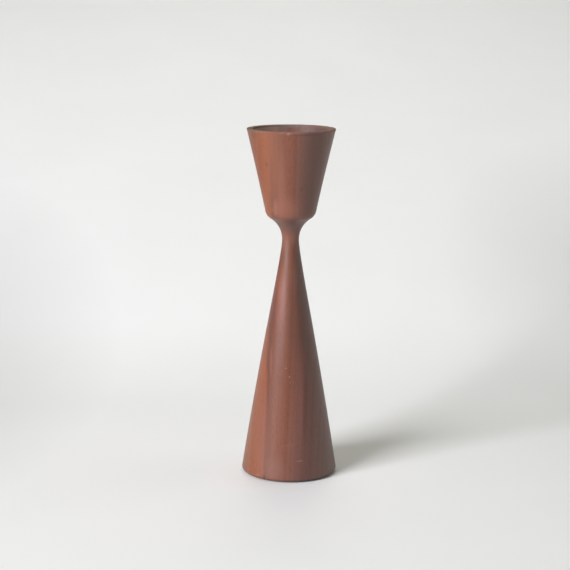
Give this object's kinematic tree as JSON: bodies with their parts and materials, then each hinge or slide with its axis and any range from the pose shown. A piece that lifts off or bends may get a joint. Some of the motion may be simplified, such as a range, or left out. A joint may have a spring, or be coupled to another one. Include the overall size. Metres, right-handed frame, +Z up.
{
  "type": "dip pen holder",
  "caption": "Turned wooden desk stand for pens: an open flared cup on a slim neck and a long cone foot, weighted and felted underneath.",
  "frame": {"origin": "centre of the felt face that rests on the desk", "axes": "+Z up along the turning axis, towards the rim of the cup"},
  "size_m": [0.0494, 0.0494, 0.18],
  "materials": {
    "teak": "oiled, satin",
    "beech": "bare, sanded",
    "steel": "turned bar",
    "felt": "pressed wool felt"
  },
  "bodies": {
    "root": {"pen_cup": "teak", "cone_foot": "teak", "joint_dowel": "beech", "ballast_slug": "steel", "felt_pad": "felt"}
  },
  "joints": []
}
